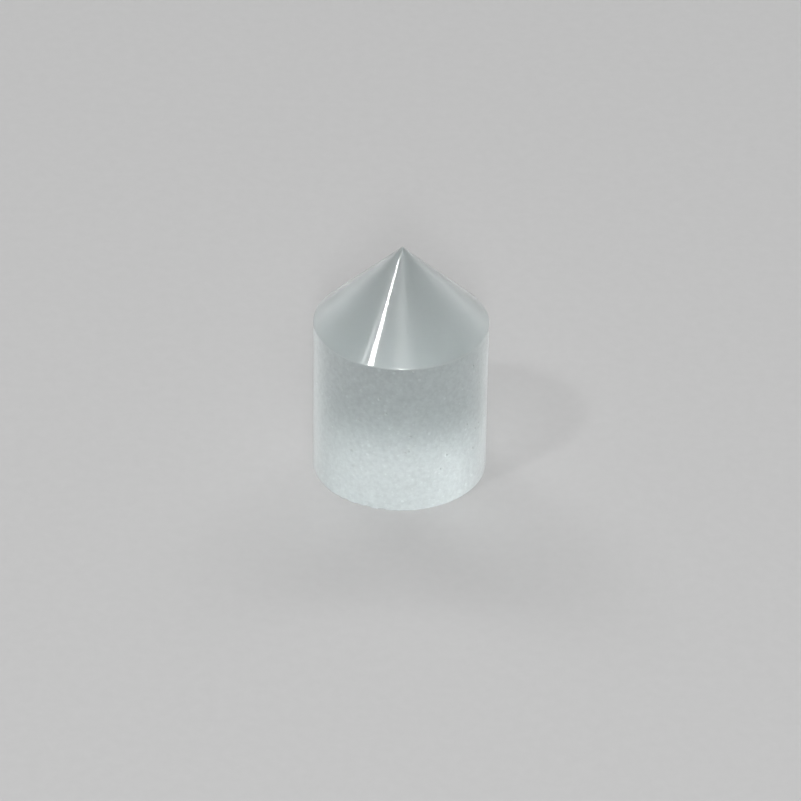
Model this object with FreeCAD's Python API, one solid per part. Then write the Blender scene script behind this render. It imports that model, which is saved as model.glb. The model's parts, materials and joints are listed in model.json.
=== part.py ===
import FreeCAD
import Part
import math
import os

# Axicon lens: one solid piece of optical glass. A plain round rod, ground matt on its wall,
# carries a polished right-angled cone that comes to a nearly sharp tip.
# The lens stands on its flat base, with the axis along Z and the base plane at Z = 0.
# -Y is the front. All lengths are in millimetres and all angles in degrees.

# The rod
WALL_DIAMETER = 10.0
WALL_LENGTH = 9.7            # from the base plane to the sharp corner of the shoulder
BASE_BEVEL = 0.02            # leg of the hair-thin bevel where the base's edge has been eased

# The cone
CONE_FULL_ANGLE = 90.0
TIP_RADIUS = 0.08            # what polishing leaves of the tip
SHOULDER_RADIUS = 0.12       # the softened edge between cone and wall

# Shallow shell-shaped flakes missing from the base's outer edge, left of the front.
# Each one is: angle round the axis from the front, length along the edge, rise above the bevel.
BASE_CHIPS = (
    (-56.0, 0.26, 0.02),
    (-43.5, 0.34, 0.035),
    (-36.8, 0.40, 0.05),
    (-27.8, 0.42, 0.06),
    (-20.9, 0.50, 0.075),
    (-11.1, 0.54, 0.085),
    (-2.3, 0.36, 0.025),
)
CHIP_HOLLOW = 1.12           # radius of the ball that bites a flake, over the flake's own radius

WALL_RADIUS = WALL_DIAMETER / 2
HALF_ANGLE = math.radians(CONE_FULL_ANGLE / 2)
CONE_HEIGHT = WALL_RADIUS / math.tan(HALF_ANGLE)

ORIGIN = FreeCAD.Vector(0, 0, 0)
AXIS = FreeCAD.Vector(0, 0, 1)
FRONT = -90.0                # the front's direction, as an angle round the axis from +X
FULL_TURN = 360.0
NODE = "axicon_lens"


def meridian_point(radius, height):
    """A point of the outline, in the plane that holds the axis and +X."""
    return FreeCAD.Vector(radius, 0, height)


def arc_point(centre_radius, centre_height, arc_radius, elevation):
    """A point of an arc of the outline. Elevation is the angle of its normal above the horizontal."""
    return meridian_point(
        centre_radius + arc_radius * math.cos(elevation),
        centre_height + arc_radius * math.sin(elevation),
    )


def lens_outline():
    """Half of the lens's section, from the centre of the base to the tip and back down the axis."""
    level = 0.0
    cone_normal = HALF_ANGLE    # elevation of the cone's outward normal
    upright = math.pi / 2

    shoulder_drop = SHOULDER_RADIUS * math.tan(cone_normal / 2)
    shoulder_centre = (WALL_RADIUS - SHOULDER_RADIUS, WALL_LENGTH - shoulder_drop)
    wall_end = arc_point(*shoulder_centre, SHOULDER_RADIUS, level)
    shoulder_middle = arc_point(*shoulder_centre, SHOULDER_RADIUS, cone_normal / 2)
    cone_start = arc_point(*shoulder_centre, SHOULDER_RADIUS, cone_normal)

    sharp_tip = WALL_LENGTH + CONE_HEIGHT
    tip_centre = (0.0, sharp_tip - TIP_RADIUS / math.sin(HALF_ANGLE))
    cone_end = arc_point(*tip_centre, TIP_RADIUS, cone_normal)
    tip_middle = arc_point(*tip_centre, TIP_RADIUS, (cone_normal + upright) / 2)
    tip = arc_point(*tip_centre, TIP_RADIUS, upright)

    base_centre = meridian_point(0, 0)
    base_edge = meridian_point(WALL_RADIUS - BASE_BEVEL, 0)
    wall_start = meridian_point(WALL_RADIUS, BASE_BEVEL)

    curves = [
        Part.LineSegment(base_centre, base_edge),
        Part.LineSegment(base_edge, wall_start),
        Part.LineSegment(wall_start, wall_end),
        Part.Arc(wall_end, shoulder_middle, cone_start),
        Part.LineSegment(cone_start, cone_end),
        Part.Arc(cone_end, tip_middle, tip),
        Part.LineSegment(tip, base_centre),
    ]
    return Part.Wire([curve.toShape() for curve in curves])


def chip_ball(angle, length, rise):
    """The ball that bites one flake out of the base's edge.

    On the wall the bite is a segment of a circle: its chord lies along the bevel's upper edge
    and has the flake's length, and its height is the flake's rise.
    """
    half_length = length / 2
    flake_radius = (half_length**2 + rise**2) / (2 * rise)
    ball_radius = flake_radius * CHIP_HOLLOW
    out_from_wall = math.sqrt(ball_radius**2 - flake_radius**2)
    below_bevel = flake_radius - rise

    centre = meridian_point(WALL_RADIUS + out_from_wall, BASE_BEVEL - below_bevel)
    ball = Part.makeSphere(ball_radius, centre)
    ball.rotate(ORIGIN, AXIS, FRONT + angle)
    return ball


def axicon_lens():
    """The whole lens: one solid of revolution, less the flakes at its base."""
    section = Part.Face(lens_outline())
    lens = section.revolve(ORIGIN, AXIS, FULL_TURN)
    balls = [chip_ball(*chip) for chip in BASE_CHIPS]
    return lens.cut(balls).Solids[0]


def main():
    os.makedirs("parts", exist_ok=True)
    lens = axicon_lens()
    lens.exportStep(f"parts/{NODE}.step")
    print(NODE, "valid", lens.isValid(), "faces", len(lens.Faces), "volume", round(lens.Volume, 3))


main()
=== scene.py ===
import json
import math

import bmesh
import bpy
from mathutils import Euler, Matrix, Vector


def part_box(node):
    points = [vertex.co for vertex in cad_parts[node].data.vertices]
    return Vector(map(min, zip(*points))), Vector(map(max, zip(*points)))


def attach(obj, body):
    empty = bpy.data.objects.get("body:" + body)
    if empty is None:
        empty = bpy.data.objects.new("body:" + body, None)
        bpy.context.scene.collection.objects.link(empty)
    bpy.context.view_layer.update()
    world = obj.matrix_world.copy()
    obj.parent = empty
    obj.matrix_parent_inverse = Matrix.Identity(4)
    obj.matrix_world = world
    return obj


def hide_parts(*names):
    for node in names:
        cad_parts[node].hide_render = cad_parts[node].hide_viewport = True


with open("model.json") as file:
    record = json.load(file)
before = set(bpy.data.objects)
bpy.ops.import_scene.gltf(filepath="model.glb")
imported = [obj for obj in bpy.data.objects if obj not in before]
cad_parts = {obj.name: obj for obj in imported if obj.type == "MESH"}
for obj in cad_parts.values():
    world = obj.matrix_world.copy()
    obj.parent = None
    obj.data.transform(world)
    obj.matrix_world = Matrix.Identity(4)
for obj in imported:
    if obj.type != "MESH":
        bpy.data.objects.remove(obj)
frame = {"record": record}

scene = bpy.context.scene
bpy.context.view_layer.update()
mm = 0.001

# The axicon lens: one piece of crown glass, cut from a rod. The cone is ground and polished on the
# rod's end, the rod's wall is left with the matt surface of fine grinding, and the base is polished.
# Nothing holds it: it stands on its base.

lens_low, lens_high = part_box("axicon_lens")
wall_mount = next(m for m in frame["record"]["mounts"] if m["name"] == "wall")
wall_radius = wall_mount["dims"]["r_mm"] * mm
base_bevel = 0.02 * mm
shoulder_radius = 0.12 * mm
tip_radius = 0.08 * mm
cone_slope = math.radians(45)

tip_centre = Vector((0, 0, lens_high.z - tip_radius))
sharp_tip = tip_centre.z + tip_radius / math.sin(cone_slope)
wall_length = sharp_tip - wall_radius * math.tan(cone_slope)
shoulder_centre = Vector((
    wall_radius - shoulder_radius,
    0,
    wall_length - shoulder_radius * math.tan(cone_slope / 2),
))

turn_steps = 384
shoulder_steps = 8
tip_steps = 6
edge_guard = 0.03 * mm      # a ring this close to an arc keeps its shading off the long face
flake_reach = 0.4 * mm      # the wall has a ring here, above all the flakes


def corner(bm, before, *place):
    """Adds a corner to the lens's outline and joins it to the one before."""
    after = bm.verts.new(Vector(place))
    bm.edges.new((before, after))
    return after


def rounding(bm, start, centre, steps):
    """Turns the outline from one straight run to the next, through the slope of the cone."""
    turned = bmesh.ops.spin(
        bm, geom=[start], cent=centre, axis=(0, -1, 0), dvec=(0, 0, 0),
        angle=cone_slope, steps=steps, use_merge=False, use_normal_flip=False, use_duplicate=False,
    )
    return next(v for v in turned["geom_last"] if isinstance(v, bmesh.types.BMVert))


def slope_point(distance):
    """A point of the cone's slope, as radius and height, at a distance down from the sharp tip."""
    return distance * math.cos(cone_slope), 0, sharp_tip - distance * math.sin(cone_slope)


bm = bmesh.new()
outline = bm.verts.new((0, 0, 0))
outline = corner(bm, outline, wall_radius - base_bevel, 0, 0)
outline = corner(bm, outline, wall_radius, 0, base_bevel)
outline = corner(bm, outline, wall_radius, 0, flake_reach)
outline = corner(bm, outline, wall_radius, 0, shoulder_centre.z - edge_guard)
outline = corner(bm, outline, wall_radius, 0, shoulder_centre.z)
outline = rounding(bm, outline, shoulder_centre, shoulder_steps)
slope_start = outline.co.x / math.cos(cone_slope)
slope_end = tip_radius / math.tan(cone_slope)
outline = corner(bm, outline, *slope_point(slope_start - edge_guard))
outline = corner(bm, outline, *slope_point(slope_end + edge_guard))
outline = corner(bm, outline, *slope_point(slope_end))
rounding(bm, outline, tip_centre, tip_steps)

bmesh.ops.spin(
    bm, geom=bm.verts[:] + bm.edges[:], cent=(0, 0, 0), axis=(0, 0, 1), dvec=(0, 0, 0),
    angle=math.tau, steps=turn_steps, use_merge=True, use_normal_flip=False, use_duplicate=False,
)
bmesh.ops.remove_doubles(bm, verts=bm.verts[:], dist=0.0001 * mm)
bmesh.ops.recalc_face_normals(bm, faces=bm.faces[:])

# The wall and its bevel are ground, the rounded shoulder is eased, and the rest is polished.
polished_faces, ground_faces, flaked_faces, eased_faces = 0, 1, 2, 3
shoulder_top = shoulder_centre.z + shoulder_radius * math.sin(cone_slope)
for face in bm.faces:
    face.smooth = True
    height = face.calc_center_median().z
    if base_bevel / 4 < height < shoulder_centre.z:
        face.material_index = ground_faces
    elif shoulder_centre.z < height < shoulder_top:
        face.material_index = eased_faces
    else:
        face.material_index = polished_faces

lens_mesh = bpy.data.meshes.new("lens")
bm.to_mesh(lens_mesh)
bm.free()
lens = bpy.data.objects.new("lens", lens_mesh)
scene.collection.objects.link(lens)

# The flakes: small shells of glass knocked off the base's edge, left of the front. Each is the bite
# of a ball, and is given by its angle from the front, its length and its rise above the bevel.

flakes = (
    (-56.0, 0.26, 0.02),
    (-43.5, 0.34, 0.035),
    (-36.8, 0.40, 0.05),
    (-27.8, 0.42, 0.06),
    (-20.9, 0.50, 0.075),
    (-11.1, 0.54, 0.085),
    (-2.3, 0.36, 0.025),
)
flake_hollow = 1.12         # the ball's radius, over the flake's own
front = -90.0               # the front's direction, as an angle from +X

bm = bmesh.new()
for angle, length, rise in flakes:
    flake_radius = (length**2 / 4 + rise**2) / (2 * rise)
    ball_radius = flake_radius * flake_hollow
    out_from_wall = math.sqrt(ball_radius**2 - flake_radius**2)
    place = Vector((wall_radius + out_from_wall * mm, 0, base_bevel - (flake_radius - rise) * mm))
    turned = Matrix.Rotation(math.radians(front + angle), 4, "Z") @ Matrix.Translation(place)
    bmesh.ops.create_icosphere(bm, subdivisions=4, radius=ball_radius * mm, matrix=turned)
for face in bm.faces:
    face.smooth = True
    face.material_index = flaked_faces
bite_mesh = bpy.data.meshes.new("bites")
bm.to_mesh(bite_mesh)
bm.free()
bites = bpy.data.objects.new("bites", bite_mesh)
scene.collection.objects.link(bites)

# The glass: one clear crown glass with four surfaces. The cone and the base are polished bright. The
# wall is fine ground with loose grit, which leaves it matt, with some deeper pits. The shoulder is
# rubbed round, and the flakes are bare broken glass.

crown_index = 1.517
clear_colour = (0.93, 0.985, 0.98, 1)
ground_colour = (0.705, 0.767, 0.768, 1)


def glass(name, colour, roughness):
    """Clear crown glass with one kind of surface."""
    material = bpy.data.materials.new(name)
    material.use_nodes = True
    shader = material.node_tree.nodes["Principled BSDF"]
    shader.inputs["Base Color"].default_value = colour
    shader.inputs["IOR"].default_value = crown_index
    shader.inputs["Transmission Weight"].default_value = 1
    shader.inputs["Roughness"].default_value = roughness
    return material, material.node_tree, shader


def bright_skin(shader, roughness):
    """The sharp mirror of an optical polish, over a body that is seen slightly softened."""
    shader.inputs["Coat Weight"].default_value = 1
    shader.inputs["Coat Roughness"].default_value = roughness
    shader.inputs["Coat IOR"].default_value = crown_index
    shader.inputs["Specular IOR Level"].default_value = 0


def node(tree, kind, inputs, **settings):
    """Adds a node. An input is a value, or another node's output to link to."""
    added = tree.nodes.new(kind)
    for name, value in settings.items():
        setattr(added, name, value)
    for name, value in inputs.items():
        if isinstance(value, bpy.types.NodeSocket):
            tree.links.new(value, added.inputs[name])
        else:
            added.inputs[name].default_value = value
    return added


def grit(tree, place, size, detail):
    """Noise whose grains have the given size in metres."""
    return node(
        tree, "ShaderNodeTexNoise",
        {"Vector": place, "Scale": 1 / size, "Detail": detail, "Roughness": 0.6},
    ).outputs["Fac"]


def remap(tree, value, low, high, to_low, to_high):
    """Stretches one range of a value to another, and holds it there."""
    return node(tree, "ShaderNodeMapRange", {
        "Value": value, "From Min": low, "From Max": high, "To Min": to_low, "To Max": to_high,
    }).outputs["Result"]


def uneven(tree, place, size, detail, low, high):
    """Varies between low and high in patches of the given size in metres."""
    noise_low, noise_high = 0.3, 0.7
    return remap(tree, grit(tree, place, size, detail), noise_low, noise_high, low, high)


def scattered(tree, place, spacing):
    """The distance to the nearest of many scattered points, in shares of their spacing in metres."""
    return node(tree, "ShaderNodeTexVoronoi", {"Vector": place, "Scale": 1 / spacing}).outputs["Distance"]


def shaded(tree, colour, shade):
    """A colour made darker or paler from place to place."""
    scaled = node(tree, "ShaderNodeVectorMath", {0: colour[:3], "Scale": shade}, operation="SCALE")
    return scaled.outputs["Vector"]


# Polished: it mirrors sharply, softens what is seen through it very little, and is faintly uneven.
polished, tree, shader = glass("polished glass", clear_colour, 0.28)
bright_skin(shader, 0.03)
place = node(tree, "ShaderNodeTexCoord", {}).outputs["Object"]
haze = uneven(tree, place, 1.6 * mm, 3, 0.276, 0.30)
tree.links.new(haze, shader.inputs["Roughness"])

# Ground: even fine grain, mottled a little by the grit, with pale specks, scattered pits and sparse
# painted glints, which stand in for light sparkling off the grit. Its sheen whitens it where it is seen
# edge on.
speck_spacing = 0.36 * mm
glint_spacing = 0.95 * mm
pit_spacing = 0.80 * mm
pit_depth = 0.05 * mm
grain_depth = 0.014 * mm
palest = 1.29               # a paler shade than this would be whiter than white

ground, tree, shader = glass("ground glass", ground_colour, 0.62)
place = node(tree, "ShaderNodeTexCoord", {}).outputs["Object"]
mottle = uneven(tree, place, 0.27 * mm, 5, 0.86, 1.14)
specks = remap(tree, scattered(tree, place, speck_spacing), 0.08, 0.22, 1.16, 1)
# painted glints: the base colour is made up to about a third paler at sparse scattered points, a painted
# sparkle of light
painted_glints = remap(tree, scattered(tree, place, glint_spacing), 0.06, 0.12, 1.34, 1)
shade = node(tree, "ShaderNodeMath", {0: mottle, 1: specks}, operation="MULTIPLY").outputs[0]
shade = node(tree, "ShaderNodeMath", {0: shade, 1: painted_glints}, operation="MULTIPLY").outputs[0]
shade = node(tree, "ShaderNodeMath", {0: shade, 1: palest}, operation="MINIMUM").outputs[0]
tree.links.new(shaded(tree, ground_colour, shade), shader.inputs["Base Color"])
matt = uneven(tree, place, 0.5 * mm, 4, 0.58, 0.66)
tree.links.new(matt, shader.inputs["Roughness"])
grain = grit(tree, place, 0.13 * mm, 4)
fine = node(tree, "ShaderNodeBump", {"Height": grain, "Strength": 1, "Distance": grain_depth})
pits = remap(tree, scattered(tree, place, pit_spacing), 0.05, 0.13, 1, 0)
deep = node(tree, "ShaderNodeBump", {
    "Height": pits, "Strength": 1, "Distance": pit_depth, "Normal": fine.outputs["Normal"],
}, invert=True)
tree.links.new(deep.outputs["Normal"], shader.inputs["Normal"])
shader.inputs["Sheen Weight"].default_value = 0.5
shader.inputs["Sheen Roughness"].default_value = 0.5

# Eased: the shoulder is rubbed round by hand after polishing, so it is bright, but not a true mirror.
eased, tree, shader = glass("eased glass", clear_colour, 0.30)
bright_skin(shader, 0.12)
place = node(tree, "ShaderNodeTexCoord", {}).outputs["Object"]
rubbed = uneven(tree, place, 0.4 * mm, 3, 0.28, 0.34)
tree.links.new(rubbed, shader.inputs["Roughness"])

# Broken: bright, with the fine ripples of a shell-shaped break.
ripple_width = 0.4 * mm
ripple_depth = 0.004 * mm

flaked, tree, shader = glass("broken glass", clear_colour, 0.28)
bright_skin(shader, 0.05)
place = node(tree, "ShaderNodeTexCoord", {}).outputs["Object"]
ripple = node(tree, "ShaderNodeTexWave", {
    "Vector": place, "Scale": 1 / ripple_width, "Distortion": 3, "Detail": 2,
}).outputs["Fac"]
rippled = node(tree, "ShaderNodeBump", {"Height": ripple, "Strength": 1, "Distance": ripple_depth})
tree.links.new(rippled.outputs["Normal"], shader.inputs["Normal"])

for material in (polished, ground, flaked, eased):
    lens_mesh.materials.append(material)
    bite_mesh.materials.append(material)

# The bites are cut out once the materials are in place, so that the flakes keep their own.
bite = lens.modifiers.new("bite", "BOOLEAN")
bite.operation = "DIFFERENCE"
bite.solver = "EXACT"
bite.object = bites
whole = bpy.data.meshes.new_from_object(lens.evaluated_get(bpy.context.evaluated_depsgraph_get()))
lens.modifiers.clear()
lens.data = whole
whole.set_sharp_from_angle(angle=math.radians(30))
bpy.data.objects.remove(bites)

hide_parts("axicon_lens")
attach(lens, "root")

# The floor: a wide round sheet of plain pale matt paper. The lens stands on it with the hair's breadth
# of air under its base that two dry flat faces always keep between them.

floor_radius = 1.5
air_gap = 0.02 * mm
floor_colour = (0.57, 0.57, 0.57, 1)

bm = bmesh.new()
bmesh.ops.create_circle(bm, cap_ends=True, cap_tris=True, segments=128, radius=floor_radius)
bmesh.ops.translate(bm, verts=bm.verts[:], vec=(0, 0, -air_gap))
bmesh.ops.recalc_face_normals(bm, faces=bm.faces[:])
floor_mesh = bpy.data.meshes.new("floor")
bm.to_mesh(floor_mesh)
bm.free()
floor = bpy.data.objects.new("floor", floor_mesh)
scene.collection.objects.link(floor)
paper = bpy.data.materials.new("pale paper")
paper.use_nodes = True
paper_shader = paper.node_tree.nodes["Principled BSDF"]
paper_shader.inputs["Base Color"].default_value = floor_colour
paper_shader.inputs["Roughness"].default_value = 0.9
paper_shader.inputs["Specular IOR Level"].default_value = 0.2
place = node(paper.node_tree, "ShaderNodeTexCoord", {}).outputs["Object"]
felt = uneven(paper.node_tree, place, 0.7 * mm, 4, 0.985, 1.015)
paper.node_tree.links.new(shaded(paper.node_tree, floor_colour, felt), paper_shader.inputs["Base Color"])
floor_mesh.materials.append(paper)

# The light: an upright strip straight in front of the lens with a weak soft panel round it, soft
# panels behind that glow through the ground wall, and a dim room that is palest at the table's height.
# Two small lamps at the left draw the white streak on the cone and the faint one beside it.

table_glow = 0.95
overhead_glow = 0.03
overhead_from = math.radians(42)
front_share = 0.4           # the room's glow in front of the lens, over its glow behind
room_tone = 0.57            # what the camera itself sees of the room, as pale as the floor

world = bpy.data.worlds.new("room")
world.use_nodes = True
room = world.node_tree.nodes["Background"]
room.inputs["Color"].default_value = (1, 1, 1, 1)
toward = node(world.node_tree, "ShaderNodeTexCoord", {}).outputs["Generated"]
spread = node(world.node_tree, "ShaderNodeSeparateXYZ", {"Vector": toward}).outputs
upward = node(world.node_tree, "ShaderNodeMapRange", {
    "Value": spread["Z"], "From Min": 0, "From Max": math.sin(overhead_from),
    "To Min": table_glow, "To Max": overhead_glow,
}, interpolation_type="SMOOTHSTEP")
backward = node(world.node_tree, "ShaderNodeMapRange", {
    "Value": spread["Y"], "From Min": -0.5, "From Max": 0.5, "To Min": front_share, "To Max": 1,
}, interpolation_type="SMOOTHSTEP")
glow = node(world.node_tree, "ShaderNodeMath", {
    0: upward.outputs["Result"], 1: backward.outputs["Result"],
}, operation="MULTIPLY").outputs[0]
seen_directly = node(world.node_tree, "ShaderNodeLightPath", {}).outputs["Is Camera Ray"]
strength = remap(world.node_tree, seen_directly, 0, 1, glow, room_tone)
world.node_tree.links.new(strength, room.inputs["Strength"])
scene.world = world

lens_middle = Vector((0, 0, (lens_low.z + lens_high.z) / 2))
lamp_distance = 1.0


def panel(name, azimuth, elevation, width, height, radiance):
    """A flat lamp that faces the lens. Its azimuth is from the front, and is positive to the right."""
    light = bpy.data.lights.new(name, "AREA")
    light.shape = "RECTANGLE"
    light.size = width
    light.size_y = height
    light.energy = radiance * math.pi * width * height
    lamp = bpy.data.objects.new(name, light)
    away = Euler((0, -math.radians(elevation), math.radians(azimuth - 90))).to_matrix() @ Vector((1, 0, 0))
    lamp.location = lens_middle + away * lamp_distance
    lamp.rotation_euler = away.to_track_quat("Z", "Y").to_euler()
    lamp.visible_camera = False
    scene.collection.objects.link(lamp)


panel("front strip", 0.4, 38, 0.05, 0.46, 96.0)
panel("front panel", 3, 40, 0.50, 0.30, 4.0)
panel("back panel", 179, 45, 1.10, 0.18, 4.0)
panel("left back panel", -143, 35, 0.26, 0.20, 5.6)
panel("right back panel", 143, 35, 0.26, 0.20, 2.2)
panel("streak lamp", -47.3, 50.7, 0.078, 0.10, 42.0)
panel("left lamp", -58.8, 48.2, 0.05, 0.05, 4.2)

# The camera stands in front, a little over a third of a right angle above the table.

camera_elevation = math.radians(34.09)
camera_distance = 60 * wall_radius
aim = Vector((0.0033 * wall_radius, 0, 0.8466 * wall_radius))
roll = math.radians(0.815)
pixels_per_radius = 86.986
frame_pixels = 801
sensor = 36.0

camera_data = bpy.data.cameras.new("camera")
camera_data.sensor_width = sensor
camera_data.lens = sensor * pixels_per_radius * (camera_distance / wall_radius) / frame_pixels
camera_data.clip_start = 0.001
camera_data.clip_end = 5
camera = bpy.data.objects.new("camera", camera_data)
toward_camera = Vector((0, -math.cos(camera_elevation), math.sin(camera_elevation)))
camera.location = aim + toward_camera * camera_distance
camera.rotation_euler = (
    toward_camera.to_track_quat("Z", "Y") @ Euler((0, 0, roll)).to_quaternion()
).to_euler()
scene.collection.objects.link(camera)
scene.camera = camera

scene.view_settings.view_transform = "Standard"
